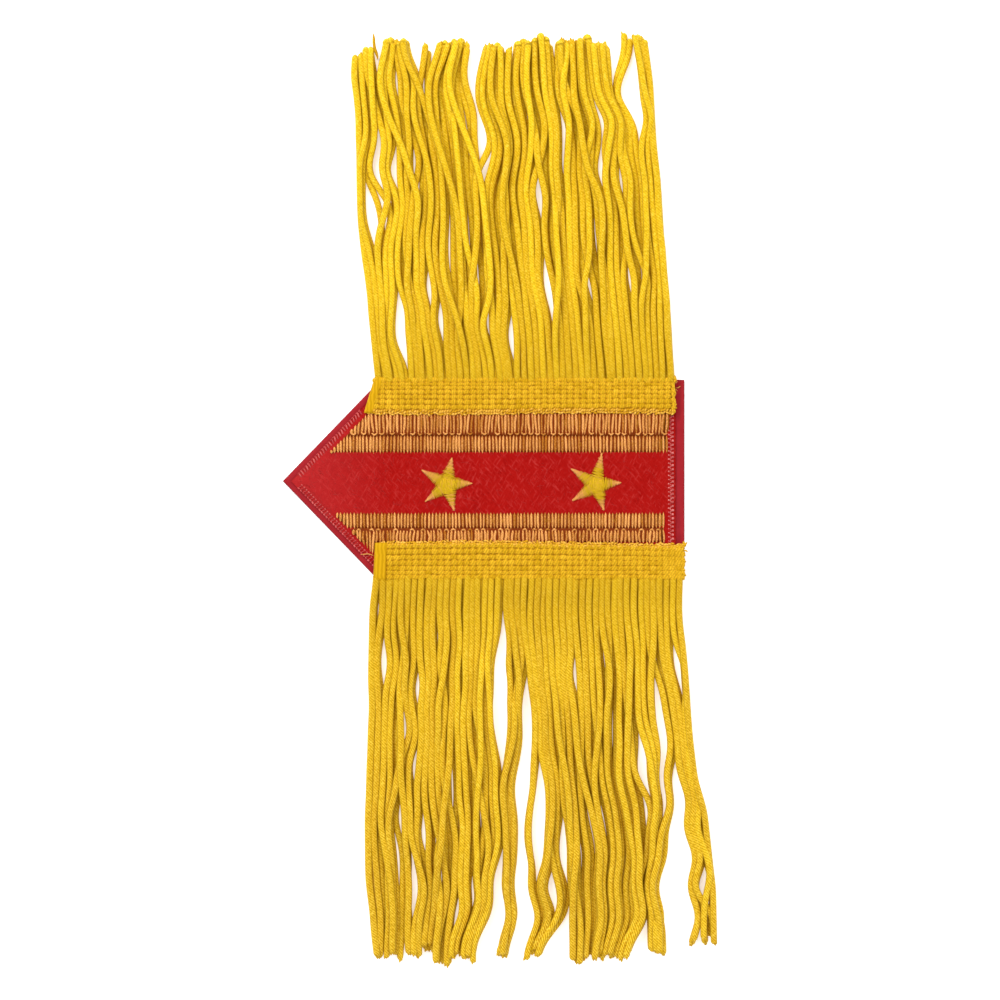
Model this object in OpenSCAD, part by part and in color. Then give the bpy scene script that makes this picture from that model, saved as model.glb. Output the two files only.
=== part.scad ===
// A fringed shoulder board that lies flat: a pointed, cloth-covered board with a felt face,
// four stitched stripes, two stitched stars, and a cord fringe on a woven heading along each long edge.
// Millimetres. X runs along the board, away from its point, Y runs across it, Z is up.
// The origin is the middle of the board's underside.

/* [Board] */
// Length from the point to the straight end
board_l = 130; // [110:1:150]
// Width across the two long edges
board_w = 64; // [54:1:74]
// Angle between each slanted edge and the middle line
point_angle = 46; // [40:1:55]
// How far the point sits below the middle line
point_drop = 0.8; // [0:0.1:2]
// Thickness of the cloth-covered backing
backing_t = 1.6; // [1:0.1:3]

/* [Felt face] */
// Thickness of the felt
felt_t = 1.2; // [1:0.1:2]
// Backing left bare along the slanted edges
rim_w = 2; // [1:0.1:4]
// Backing left bare at the straight end
band_w = 3; // [1:0.1:6]
// Backing left bare under the two headings
side_rim = 0.8; // [0.3:0.1:2]

/* [Stitching] */
// Height of the stripes above the felt
stripe_t = 0.7; // [0.4:0.1:1.2]
// Distance of the stripes' slanted ends from the slanted edge
stripe_inset = 4.5; // [3:0.1:8]
// Distance of the stripes' square ends from the straight end
stripe_end = 5.8; // [4:0.1:10]
// Gap between the two rows of a stripe
row_gap = 0.2; // [0.1:0.1:0.6]
// Radius of a star's points
star_r = 8.5; // [6:0.1:10]
// Radius of a star's inner corners
star_inner_r = 3.5; // [2.5:0.1:5]
// Height of a star at its edge
star_edge_t = 0.5; // [0.3:0.1:1]
// Height of a star at its middle
star_mid_t = 1.1; // [0.6:0.1:1.6]

/* [Heading] */
// Thickness of the woven heading
heading_t = 1.8; // [1.2:0.1:2.5]
// How far the heading stands out past the board's long edge
heading_over = 0.6; // [0.4:0.1:1.5]

/* [Fringe] */
// Height of the locks where they lie on the floor
lock_h = 3.4; // [2:0.1:5]
// How far the locks run out before they reach the floor
drop_l = 9; // [6:0.5:14]
// Clearance between one lock and the next
lock_gap = 0.3; // [0.2:0.1:0.8]
// Number of cords in the upper fringe
cords_upper = 47; // [47:1:47]
// Number of cords in the lower fringe
cords_lower = 48; // [48:1:48]

/* [Hidden] */

half_l = board_l / 2;
half_w = board_w / 2;
felt_z = backing_t;
face_z = backing_t + felt_t;
heading_out = half_w + heading_over;

// Rows of stitching: the edge towards the middle line and the edge away from it, above or below it
upper_inner_y = [8.3, 14.3];
upper_outer_y = [14.5, 21];
lower_inner_y = [11.1, 16.5];
lower_outer_y = [16.7, 24.3];

// Centres of the two stars
star_front_at = [-12.1, -1.7];
star_rear_at = [36, -1.1];

// Headings: where the inner edge runs, the left end at the inner and outer edge, the right end,
// and the radius of the right end's inner corner
heading_upper = [21.3, -38.3, -34.9, 61.4, 1];
heading_lower = [20.8, -34.8, -35.3, 64.6, 2.2];
INNER = 0;
LEFT_IN = 1;
LEFT_OUT = 2;
RIGHT_END = 3;
CORNER = 4;
// Clearance kept between a heading and the stripe beside it
heading_clear = 0.3;

// Outline of each fringe: distance from the heading, left edge, right edge
V = 0;
LEFT = 1;
RIGHT = 2;
edges_upper = [
    [0, -34.5, 61.3],
    [25, -37.3, 60],
    [50, -39.9, 58.3],
    [75, -40.3, 55.6],
    [95, -42.3, 54],
    [112, -41.4, 51.4]];
edges_lower = [
    [0, -35.2, 64.2],
    [10, -36.3, 64.2],
    [50, -36.9, 66.8],
    [65, -37.3, 68.4],
    [75, -37.8, 71.4],
    [100, -37.6, 74.3],
    [125, -34.2, 75.8]];

// Gaps in each fringe: the cord after which a gap opens, the distance from the heading where it starts
// and ends, and how far it pushes the cords on its left and on its right aside
AFTER = 0;
FROM = 1;
TO = 2;
PUSH_LEFT = 3;
PUSH_RIGHT = 4;
gaps_upper = [
    [1, 6, 20, 0.5, 1.4],
    [2, 41, 69, 1.2, 1.7],
    [3, 42, 84, 0.1, 1.6],
    [4, 96, 124, 1.2, 0.8],
    [5, 4, 30, 2.5, 1],
    [6, 60, 76, 2.6, -0.2],
    [7, 88, 104, 0.2, 1.8],
    [8, 56, 78, 1.1, 0.6],
    [10, 21, 37, 0.9, 1],
    [10, 95, 126, 2.2, 2.4],
    [11, 10, 27, 0.6, 1.5],
    [13, 95, 125, 2.6, 0.3],
    [19, 11, 24, 1.6, 0],
    [19, 62, 90, 0.2, 2.3],
    [19, 88, 140, 1.4, 3.2],
    [22, 3, 28, 1.3, 0.5],
    [24, 101, 122, 0.3, 1.2],
    [28, 17, 41, 0, 2.2],
    [28, 50, 69, 1.1, 1.3],
    [32, 59, 91, 0.3, 1.7],
    [32, 100, 121, 1.2, 0.4],
    [35, 22, 40, 1.4, 0.1],
    [38, 60, 75, 1.5, 0.1],
    [38, 78, 91, -1.2, 3.2],
    [42, 25, 41, 1.6, 0.3],
    [42, 53, 72, 2.6, -0.6],
    [42, 94, 128, 3, 2.6],
    [44, 74, 107, 3.4, 0],
    [44, 72, 118, 0, 2.3]];
gaps_lower = [
    [1, 3, 16, 0.4, 1],
    [2, 17, 38, 0.7, 1.6],
    [5, 41, 58, 0.3, 1.6],
    [5, 70, 83, 0.9, 0.5],
    [5, 115, 137, 0.7, 0.7],
    [6, 90, 110, -0.4, 2.3],
    [7, 28, 41, 0.9, 1.4],
    [7, 52, 68, 0.9, 1],
    [8, 74, 90, 0.9, 1],
    [9, 103, 110, 0.4, 0.4],
    [10, 14, 23, -0.2, 1.6],
    [11, 33, 45, 0.6, 1],
    [13, 75, 83, 0.9, 0.4],
    [13, 100, 112, 1.6, 0.3],
    [14, 27, 37, 0.9, 0.6],
    [15, 95, 106, 0, 1.9],
    [20, 15, 66, 2.3, 0],
    [20, 8, 61, 0, 2.2],
    [20, 84, 150, 1.3, 1.8],
    [20, 102, 150, 4.8, -1],
    [23, 28, 78, 0.9, 2.6],
    [23, 58, 150, 2.9, -0.6],
    [23, 76, 150, 3.2, 0.4],
    [24, 52, 78, -0.8, 0],
    [24, 52, 99, 0.9, 3],
    [26, 92, 107, 1.9, 1.7],
    [27, 77, 101, 1.5, 1.1],
    [27, 106, 150, 4.2, 3],
    [31, 22, 39, 0.9, 0.8],
    [40, 46, 80, -1, 4.2],
    [40, 107, 150, 5.8, -0.6],
    [43, 22, 82, 0.1, 2.4],
    [43, 46, 84, 2.2, -1.6],
    [44, 60, 150, 2.4, 0],
    [44, 52, 150, 0, 1.5],
    [44, 71, 150, 3.9, 1.7],
    [46, 20, 40, 0.2, 1.9],
    [46, 52, 70, 2.9, -0.6],
    [46, 91, 106, 2, 0.3],
    [47, 74, 85, 1.7, 0.1],
    [47, 110, 117, 0.6, 0.6]];
// Cords after which two locks part without a gap
seams_upper = [16];
seams_lower = [17, 34, 37];
// Distance over which a long gap opens and closes
gap_ease = 14;
// Number of cords over which the push of a gap dies away, at least and for each millimetre of push
gap_reach = 3.5;
push_reach = 2;

// Length of the fringe: the cord from the left, the distance of its tip from the heading
tips_upper = [
    [0, 98], [1, 104], [3, 106], [7, 109], [11, 107], [15, 109], [21, 107], [23, 108], [27, 110], [34, 109],
    [40, 110], [44, 111], [47, 109]];
tips_lower = [
    [0, 121], [5, 122], [8, 119], [9, 119], [9.5, 123.5], [12, 123.5], [13, 121], [16, 122], [19, 121], [22, 121],
    [26, 120], [28, 123], [32, 121], [42, 120], [44, 118], [48, 117]];

// Rings of a lock near the heading, their spacing where it lies flat, and the length of its rounded tip
root_rings = [-1.5, 2, 5];
ring_step = 8;
tip_l = 3;
// Height at which the locks leave the heading
root_low = face_z + 0.3;
root_high = face_z + heading_t - 0.2;

// Where a line parallel to the slanted edges, set in from them, stands at a given y
function slant_x(y, inset) =
    -half_l + inset / sin(point_angle) + abs(y + point_drop) / tan(point_angle);

// The pointed outline, set in from the slanted edges, from the straight end and from the long edges
module pointed_outline(inset, end_inset, side_inset) {
    high = half_w - side_inset;
    polygon([
        [slant_x(-point_drop, inset), -point_drop],
        [slant_x(-high, inset), -high],
        [half_l - end_inset, -high],
        [half_l - end_inset, high],
        [slant_x(high, inset), high]]);
}

module backing_board() {
    color([0.66, 0.1, 0.16])
        linear_extrude(backing_t) pointed_outline(0, 0, 0);
}

module felt_face() {
    color([0.72, 0.08, 0.1])
        translate([0, 0, felt_z])
            linear_extrude(felt_t) pointed_outline(rim_w, band_w, side_rim);
}

// A row of satin stitching from y_low to y_high, with its left end along the slanted edge
module stripe(y_low, y_high) {
    end_x = half_l - stripe_end;
    color([0.8, 0.45, 0.15])
        translate([0, 0, face_z])
            linear_extrude(stripe_t)
                polygon([
                    [slant_x(y_low, stripe_inset), y_low],
                    [end_x, y_low],
                    [end_x, y_high],
                    [slant_x(y_high, stripe_inset), y_high]]);
}

module stripe_upper_outer() {
    stripe(upper_outer_y[0], upper_outer_y[1]);
}

module stripe_upper_inner() {
    stripe(upper_inner_y[0], upper_inner_y[1]);
}

module stripe_lower_inner() {
    stripe(-lower_inner_y[1], -lower_inner_y[0]);
}

// The lower outer row goes on beside the left end of the heading that covers the rest of it
module stripe_lower_outer() {
    cut_x = heading_lower[LEFT_IN] - heading_clear;
    cut_y = -heading_lower[INNER] + heading_clear;
    difference() {
        stripe(-lower_outer_y[1], -lower_outer_y[0]);
        translate([cut_x, cut_y - half_w, 0]) cube([board_l, half_w, face_z + 2 * stripe_t]);
    }
}

// A five-pointed star that rises from its edge to its middle, with one point along +X
module star(at) {
    outline = [for (k = [0:9]) (k % 2 == 0 ? star_r : star_inner_r) * [cos(36 * k), sin(36 * k)]];
    base = [for (p = outline) [p[0], p[1], 0]];
    rim = [for (p = outline) [p[0], p[1], star_edge_t]];
    low_mid = 20;
    top_mid = 21;
    color([0.9, 0.65, 0.1])
        translate([at[0], at[1], face_z])
            polyhedron(
                concat(base, rim, [[0, 0, 0], [0, 0, star_mid_t]]),
                [for (k = [0:9], f = [
                    [low_mid, k, (k + 1) % 10],
                    [top_mid, 10 + (k + 1) % 10, 10 + k],
                    [k, 10 + k, 10 + (k + 1) % 10],
                    [k, 10 + (k + 1) % 10, (k + 1) % 10]]) f]);
}

module star_front() {
    star(star_front_at);
}

module star_rear() {
    star(star_rear_at);
}

// The flat woven band that the cords hang from, drawn on the +Y side
module heading(size) {
    r = size[CORNER];
    right = size[RIGHT_END];
    inner = size[INNER];
    translate([0, 0, face_z])
        linear_extrude(heading_t) {
            polygon([
                [size[LEFT_IN], inner],
                [right - r, inner],
                [right - r, inner + r],
                [right, inner + r],
                [right, heading_out],
                [size[LEFT_OUT], heading_out]]);
            translate([right - r, inner + r]) circle(r, $fn = 32);
        }
}

// How far a gap stands open at distance v, from 0 to 1
function opening(gap, v) =
    let (d = min(v - gap[FROM], gap[TO] - v), ease = min((gap[TO] - gap[FROM]) / 2, gap_ease))
    d <= 0 ? 0 : pow(sin(90 * min(1, d / ease)), 2);

// How far a gap pushes the line after a given cord, on the side that faces left (-1) or right (1)
function push(gap, cord, side) =
    let (left = cord < gap[AFTER] || (cord == gap[AFTER] && side < 0),
         most = left ? -gap[PUSH_LEFT] : gap[PUSH_RIGHT],
         reach = max(gap_reach, push_reach * abs(most)))
    most * exp(-abs(cord - gap[AFTER]) / reach);

function total(list, i = 0) = i == len(list) ? 0 : list[i] + total(list, i + 1);

function edge_at(edges, column, v) = lookup(v, [for (row = edges) [row[V], row[column]]]);

// Where the line after a given cord runs at distance v, on one side of the gaps that open there
function line_x(edges, gaps, count, cord, side, v) =
    let (left = edge_at(edges, LEFT, v), right = edge_at(edges, RIGHT, v))
    left + (right - left) * cord / count
    + total([for (gap = gaps) opening(gap, v) * push(gap, cord, side)]);

// How far the fringe has come down from the heading to the floor, from 0 to 1
function drop(v) = (1 - cos(180 * max(0, min(1, v / drop_l)))) / 2;

// One ring of a lock: a flattened hexagon between its left and right line, higher where it is squeezed
function lock_ring(edges, gaps, count, from, to, v, end) =
    let (
        left = line_x(edges, gaps, count, from, 1, v) + lock_gap / 2,
        right = line_x(edges, gaps, count, to, -1, v) - lock_gap / 2,
        wide = (edge_at(edges, RIGHT, v) - edge_at(edges, LEFT, v)) / count * (to - from) - lock_gap,
        full = lock_h * max(0.9, min(1.25, wide / (right - left))),
        low = root_low * (1 - drop(v)) + end * 0.5,
        high = root_high + (full - root_high) * drop(v) - end * 0.9,
        nip = end * 0.2 * (right - left),
        e = min(0.9, 0.3 * (right - left)),
        y = heading_out + v)
    [[left + nip, y, (low + high) / 2],
     [left + nip + e, y, high],
     [right - nip - e, y, high],
     [right - nip, y, (low + high) / 2],
     [right - nip - e, y, low],
     [left + nip + e, y, low]];

// A closed skin over rings of six points
module skin(rings) {
    last = 6 * (len(rings) - 1);
    polyhedron(
        [for (ring = rings) each ring],
        concat(
            [[0, 1, 2, 3, 4, 5]],
            [[for (k = [5:-1:0]) last + k]],
            [for (i = [0:len(rings) - 2], k = [0:5], f = [
                [6 * i + k, 6 * i + 6 + k, 6 * i + 6 + (k + 1) % 6],
                [6 * i + k, 6 * i + 6 + (k + 1) % 6, 6 * i + (k + 1) % 6]]) f]));
}

// The locks of one fringe, between its seams and the lines where its gaps open, drawn on the +Y side
module locks(edges, gaps, seams, count, tips) {
    parted = concat([0, count], seams, [for (gap = gaps) gap[AFTER]]);
    lines = [for (cord = [0:count]) if (len(search(cord, parted)) > 0) cord];
    for (i = [0:len(lines) - 2]) {
        from = lines[i];
        to = lines[i + 1];
        length = lookup((from + to) / 2, tips);
        flat = length - tip_l - drop_l;
        steps = round(flat / ring_step);
        skin(concat(
            [for (v = root_rings) lock_ring(edges, gaps, count, from, to, v, 0)],
            [for (k = [0:steps]) lock_ring(edges, gaps, count, from, to, drop_l + flat * k / steps, 0)],
            [lock_ring(edges, gaps, count, from, to, length, 1)]));
    }
}

module fringe_upper() {
    color([0.93, 0.72, 0.1]) {
        heading(heading_upper);
        locks(edges_upper, gaps_upper, seams_upper, cords_upper, tips_upper);
    }
}

module fringe_lower() {
    color([0.93, 0.72, 0.1])
        mirror([0, 1, 0]) {
            heading(heading_lower);
            locks(edges_lower, gaps_lower, seams_lower, cords_lower, tips_lower);
        }
}

backing_board();
felt_face();
stripe_upper_outer();
stripe_upper_inner();
stripe_lower_inner();
stripe_lower_outer();
star_front();
star_rear();
fringe_upper();
fringe_lower();
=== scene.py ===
import math

import bpy
import numpy as np
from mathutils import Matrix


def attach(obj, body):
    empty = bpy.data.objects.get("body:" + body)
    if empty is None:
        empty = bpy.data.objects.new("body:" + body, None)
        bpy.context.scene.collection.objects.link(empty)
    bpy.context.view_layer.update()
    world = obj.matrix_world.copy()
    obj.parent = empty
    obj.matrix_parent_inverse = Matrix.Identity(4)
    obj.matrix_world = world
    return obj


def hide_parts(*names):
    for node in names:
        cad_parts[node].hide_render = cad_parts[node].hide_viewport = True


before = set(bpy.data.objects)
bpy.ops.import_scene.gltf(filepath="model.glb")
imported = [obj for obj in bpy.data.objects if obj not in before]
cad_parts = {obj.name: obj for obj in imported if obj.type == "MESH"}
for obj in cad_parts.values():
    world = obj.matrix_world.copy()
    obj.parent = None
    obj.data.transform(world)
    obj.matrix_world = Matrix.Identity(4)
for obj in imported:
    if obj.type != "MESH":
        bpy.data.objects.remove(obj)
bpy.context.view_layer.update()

# Camera
# It hangs straight above the board, with the fringes running up and down the picture,
# so high that the picture's side takes in 322.6 mm of the board's face.
PICTURE_SIDE, PICTURE_MIDDLE = 0.3226, (0.00532, -0.0069)
FACE_HEIGHT = 0.003


def put(name, data):
    """A new object in the scene, for a camera, a lamp or a mesh."""
    thing = bpy.data.objects.new(name, data)
    bpy.context.scene.collection.objects.link(thing)
    return thing


optics = bpy.data.cameras.new("overhead")
optics.lens = 85
optics.sensor_width = 36
overhead = put("overhead", optics)
overhead.location = (*PICTURE_MIDDLE, FACE_HEIGHT + PICTURE_SIDE * optics.lens / optics.sensor_width)
bpy.context.scene.camera = overhead

# Table and lamps
# The board lies on a plain white table with a lit top, as small goods are photographed. A large soft lamp
# stands above and to the left, a weaker one to the right, and the room fills in the shadows.
TABLE_REACH = 8
TABLE_Z = -0.0002
# Place, side and power of each lamp
LAMPS = {"soft_lamp": ((-0.55, 0.75, 1.05), 0.8, 15.5), "fill_lamp": ((0.9, 0.1, 1.2), 1.2, 7)}


class Wire:
    """One output in a node tree. Sums of wires add Math nodes, and make() adds any other node."""

    def __init__(self, tree, socket=None):
        self.tree = tree
        self.socket = socket

    def make(self, kind, settings=None, sockets=None, out=0):
        node = self.tree.nodes.new(kind)
        for name, value in (settings or {}).items():
            setattr(node, name, value)
        for name, value in (sockets or {}).items():
            if isinstance(value, Wire):
                self.tree.links.new(value.socket, node.inputs[name])
            else:
                node.inputs[name].default_value = value
        return Wire(self.tree, node.outputs[out])

    def through(self, kind, settings=None, sockets=None):
        """A node that takes this wire in its first socket."""
        return self.make(kind, settings, {0: self, **(sockets or {})})

    def out(self, name):
        """Another output of the node that this wire leaves."""
        return Wire(self.tree, self.socket.node.outputs[name])

    def feed(self, socket):
        self.tree.links.new(self.socket, socket)

    def math(self, operation, *values):
        return self.make("ShaderNodeMath", {"operation": operation}, dict(enumerate(values)))

    def __add__(self, other):
        return self.math("ADD", self, other)

    def __sub__(self, other):
        return self.math("SUBTRACT", self, other)

    def __rsub__(self, other):
        return self.math("SUBTRACT", other, self)

    def __mul__(self, other):
        return self.math("MULTIPLY", self, other)

    def __truediv__(self, other):
        return self.math("DIVIDE", self, other)

    def __pow__(self, other):
        return self.math("POWER", self, other)

    __radd__ = __add__
    __rmul__ = __mul__


def new_finish(name, roughness, shine=0.1, shine_colour=(1, 1, 1)):
    """A material, the wire of the place that its patterns start from, and its shader's sockets."""
    material = bpy.data.materials.new(name)
    material.use_nodes = True
    shader = material.node_tree.nodes["Principled BSDF"].inputs
    shader["Roughness"].default_value = roughness
    shader["Specular IOR Level"].default_value = shine
    shader["Specular Tint"].default_value = (*shine_colour, 1)
    return material, Wire(material.node_tree).make("ShaderNodeTexCoord", out="Object"), shader


def noise(place, scale, detail=2.0, roughness=0.5):
    return place.make("ShaderNodeTexNoise", None,
                      {"Vector": place, "Scale": scale, "Detail": detail, "Roughness": roughness})


def between(share, low, high):
    """The colour that lies at a share of the way from one colour to another."""
    low, high = (colour if isinstance(colour, Wire) else (*colour, 1) for colour in (low, high))
    return share.make("ShaderNodeMix", {"data_type": "RGBA"}, {0: share, 6: low, 7: high}, out=2)


def paint(shader, colour, *coats):
    """Colours a surface, with each coat over the last one as strongly as its share says."""
    for share, coat in coats:
        colour = between(share, colour, coat)
    colour.feed(shader["Base Color"])


white_table, place, shader = new_finish("white_table", 0.8)
paint(shader, between(noise(place, 3.0), (0.9, 0.9, 0.895), (0.93, 0.93, 0.925)))
shader["Emission Color"].default_value = (1, 1, 0.99, 1)
shader["Emission Strength"].default_value = 0.45

top = bpy.data.meshes.new("table")
corners = [(TABLE_REACH * x, TABLE_REACH * y, TABLE_Z) for x, y in ((-1, -1), (1, -1), (1, 1), (-1, 1))]
top.from_pydata(corners, [], [(0, 1, 2, 3)])
top.materials.append(white_table)
put("table", top)

for name, (at, side, power) in LAMPS.items():
    bulb = bpy.data.lights.new(name, "AREA")
    bulb.size = side
    bulb.energy = power
    lamp = put(name, bulb)
    lamp.location = at
    lamp.rotation_euler = (math.atan2(math.hypot(at[0], at[1]), at[2]), 0, math.atan2(at[0], -at[1]))

room = bpy.data.worlds.new("room")
bpy.context.scene.world = room
room.use_nodes = True
room.node_tree.nodes["Background"].inputs["Color"].default_value = (1, 1, 1, 1)
room.node_tree.nodes["Background"].inputs["Strength"].default_value = 0.7
bpy.context.scene.view_settings.view_transform = "Standard"

# Backing board
# A stiff pointed board covered in crimson cloth. The cloth is turned over its edges and shows
# as a rim beside the felt, and as a folded band across the straight end.
BOARD_L, BOARD_W, BACKING_T = 130.0, 64.0, 1.6
HALF_L, HALF_W = BOARD_L / 2, BOARD_W / 2
POINT_ANGLE = math.radians(46)
POINT_DROP = 0.8
FOLD_X = 63.35
WEAVE = 0.0006


def slant_x(y, inset):
    """Where a line parallel to the slanted edges, set in from them, stands at y."""
    return -HALF_L + inset / math.sin(POINT_ANGLE) + abs(y + POINT_DROP) / math.tan(POINT_ANGLE)


def graded(low, high, step):
    """Places from low to high, close together near both ends where the edge turns over."""
    rim = [0, 0.06, 0.2, 0.42, 0.75]
    count = max(2, round((high - low - 2 * rim[-1]) / step))
    middle = np.linspace(low + rim[-1], high - rim[-1], count + 1)
    return np.concatenate([low + np.array(rim[:-1]), middle, high - np.array(rim[-2::-1])])


def pointed_plate(inset, end_inset, side_inset, low, high, edge, relief, step=1.3):
    """Points and faces of a pointed plate with rounded edges: two grids that share their border."""
    top_y, right = HALF_W - side_inset, HALF_L - end_inset
    rows = np.unique(np.append(graded(-top_y, top_y, step), -POINT_DROP))
    across = round((right - slant_x(-POINT_DROP, inset)) / step)
    shares = graded(0, across * step, step) / (across * step)
    nx, ny = len(shares), len(rows)
    left = slant_x(rows, inset)[:, None]
    x = left + shares * (right - left)
    y = np.repeat(rows[:, None], nx, axis=1)
    depth = np.minimum.reduce([(x - left) * math.sin(POINT_ANGLE), right - x, top_y - np.abs(y)])
    arc = np.sqrt(1 - (1 - np.clip(depth / edge, 0, 1)) ** 2)
    middle, half = (low + high) / 2, (high - low) / 2
    above, below = middle + half * arc + relief(x, y) * arc, middle - half * arc
    points = [tuple(point) for point in np.stack([x, y, above], -1).reshape(-1, 3)]
    number = {}
    for j in range(ny):
        for i in range(nx):
            number[j, i] = j * nx + i
            if 0 < i < nx - 1 and 0 < j < ny - 1:
                number[j, i] = len(points)
                points.append((x[j, i], y[j, i], below[j, i]))
    faces = []
    for j in range(ny - 1):
        for i in range(nx - 1):
            a = j * nx + i
            faces.append((a, a + 1, a + nx + 1, a + nx))
            faces.append((number[j, i], number[j + 1, i], number[j + 1, i + 1], number[j, i + 1]))
    return points, faces


def mesh_piece(name, points, faces, finish, slot, node=None, side=1):
    """A smooth piece from points in millimetres. Side -1 mirrors it across the board's middle line."""
    mesh = bpy.data.meshes.new(name)
    mesh.from_pydata([(0.001 * x, 0.001 * side * y, 0.001 * z) for x, y, z in points], [],
                     [face[::side] for face in faces])
    mesh.materials.append(finish)
    mesh.polygons.foreach_set("use_smooth", [True] * len(faces))
    return settle(put(name, mesh), node)


def settle(piece, node):
    """The piece is on the one rigid body and may stand for a node."""
    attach(piece, "root")
    if node:
        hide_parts(node)
    return piece


def cover_relief(x, y):
    """Small puckers along the rim, and the crease of the fold across the straight end."""
    puckers = 0.05 * np.sin(x * 1.9 + 2 * np.sin(y * 0.6)) * np.sin(y * 1.7 + 1.3 * np.sin(x * 0.4))
    return puckers - 0.28 * np.exp(-((x - FOLD_X - 0.15 * np.sin(y * 0.12)) / 0.28) ** 2)


def on_axis(place, axis):
    """How far a place lies along X, Y or Z."""
    return place.make("ShaderNodeSeparateXYZ", None, {"Vector": place}, out=axis)


def rise(value, start, end, top=1.0, foot=0.0):
    """Goes from foot to top while a value goes from start to end."""
    return value.make("ShaderNodeMapRange", None, {
        "Value": value, "From Min": start, "From Max": end, "To Min": foot, "To Max": top})


def emboss(shader, height, strength, depth):
    """Shades a surface as if it stood up, by as much as height says of a depth in metres."""
    bump = height.make("ShaderNodeBump", None, {"Strength": strength, "Distance": depth, "Height": height})
    bump.feed(shader["Normal"])


crimson_cloth, place, shader = new_finish("crimson_cloth", 0.75, 0.12, (1, 0.4, 0.45))
warp, weft = (place.math("SINE", on_axis(place, axis) * (2 * math.pi / WEAVE)) for axis in "XY")
weave = warp * weft * 0.5 + 0.5
worn = noise(place, 220.0, 4.0, 0.65)
# The last coat is the shade low on its edge
paint(shader, between(worn, (0.27, 0.009, 0.014), (0.4, 0.024, 0.03)),
      (weave * 0.3, (0.22, 0.006, 0.01)),
      (rise(on_axis(place, "Z"), 0.0009, 0.0015, 0.0, 0.75), (0.07, 0.012, 0.02)))
emboss(shader, weave * 0.6 + noise(place, 900.0), 0.5, 0.00015)
mesh_piece("board_cover", *pointed_plate(0, 0, 0, 0, BACKING_T, 0.75, cover_relief), crimson_cloth,
           "backing_cloth", "backing_board")

# Felt face
# Thick red felt, cut to the board's shape a little smaller and laid on it. Loose fibres lie
# all over it, and the stitching presses it down.
FELT_T = 1.2
FACE_Z = BACKING_T + FELT_T
RIM_W, BAND_W, SIDE_RIM = 2.0, 3.0, 0.8
FIBRES = 650


def felt_relief(x, y):
    """A slight swell, pressed flat along the slanted edges and the straight end, where the seams run."""
    swell = 0.05 * np.sin(x * 0.5 + np.sin(y * 0.3)) * np.sin(y * 0.45 + 0.8 * np.sin(x * 0.2))
    from_seam = np.minimum((x - slant_x(y, RIM_W)) * math.sin(POINT_ANGLE), HALF_L - BAND_W - x)
    return swell - 0.75 * np.exp(-(np.clip(from_seam, 0, None) / 2.0) ** 4)


red_felt, place, shader = new_finish("red_felt", 0.9, 0.06, (1, 0.4, 0.4))
# The matted fibres show as streaks that lie two ways
streaks = []
for turn in (-48, 61):
    combed = place.make("ShaderNodeMapping", {"vector_type": "TEXTURE"},
                        {"Vector": place, "Rotation": (0, 0, math.radians(turn)), "Scale": (5.0, 1.0, 1.0)})
    streaks.append(noise(combed, 1500.0, 3.0, 0.7))
streak = place.math("MAXIMUM", *streaks)
mottled = between(noise(place, 200.0, 5.0, 0.6), (0.28, 0.003, 0.0025), (0.38, 0.008, 0.006))
# The last coat makes it paler towards the point
paint(shader, mottled,
      (rise(streak, 0.56, 0.78, 0.7), (0.52, 0.05, 0.045)),
      (rise(streak, 0.5, 0.36, 0.5), (0.2, 0.001, 0.001)),
      (rise(on_axis(place, "X"), -0.03, -0.065, 0.55), (0.45, 0.03, 0.034)))
emboss(shader, noise(place, 1500.0, 3.0, 0.6) * 0.4 + streak, 0.8, 0.0003)
plate = pointed_plate(RIM_W, BAND_W, SIDE_RIM, BACKING_T, FACE_Z, 0.5, felt_relief)
felt_face = mesh_piece("felt", *plate, red_felt, "felt", "felt_face")


def titled(inputs):
    """A tree's inputs under the names of its sockets, as in Turn Spread for turn_spread."""
    return {name.replace("_", " ").title(): value for name, value in inputs.items()}


def new_tree(name, takes, gives, **inputs):
    """A Geometry Nodes tree with named inputs: the wire of the points or lines that it takes."""
    tree = bpy.data.node_groups.new(name, "GeometryNodeTree")
    tree.interface.new_socket(takes, in_out="INPUT", socket_type="NodeSocketGeometry")
    for title, value in titled(inputs).items():
        kind = "NodeSocketInt" if isinstance(value, int) else "NodeSocketFloat"
        tree.interface.new_socket(title, in_out="INPUT", socket_type=kind).default_value = value
    tree.interface.new_socket("Finish", in_out="INPUT", socket_type="NodeSocketMaterial")
    tree.interface.new_socket(gives, in_out="OUTPUT", socket_type="NodeSocketGeometry")
    return Wire(tree, tree.nodes.new("NodeGroupInput").outputs[takes])


def end_tree(given, made):
    """Gives what the tree has made its finish, and hands it out."""
    made = made.through("GeometryNodeSetMaterial", None, {"Material": given.out("Finish")})
    made.feed(given.tree.nodes.new("NodeGroupOutput").inputs[0])
    return given.tree


def note(geometry, name, value):
    """Notes a value under a name on every point."""
    return geometry.through("GeometryNodeStoreNamedAttribute", {"data_type": "FLOAT"},
                            {"Name": name, "Value": value})


def noted(given, name):
    return given.make("GeometryNodeInputNamedAttribute", {"data_type": "FLOAT"}, {"Name": name})


def round_profile(given, radius):
    """A circle to sweep, whose points note the cosine and sine of their angle, for the thread's twist."""
    ring = given.make("GeometryNodeCurvePrimitiveCircle", None,
                      {"Resolution": given.out("Sides"), "Radius": radius})
    angle = given.make("GeometryNodeSplineParameter", out="Factor") * (2 * math.pi)
    return note(note(ring, "around_c", given.math("COSINE", angle)), "around_s", given.math("SINE", angle))


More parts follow.
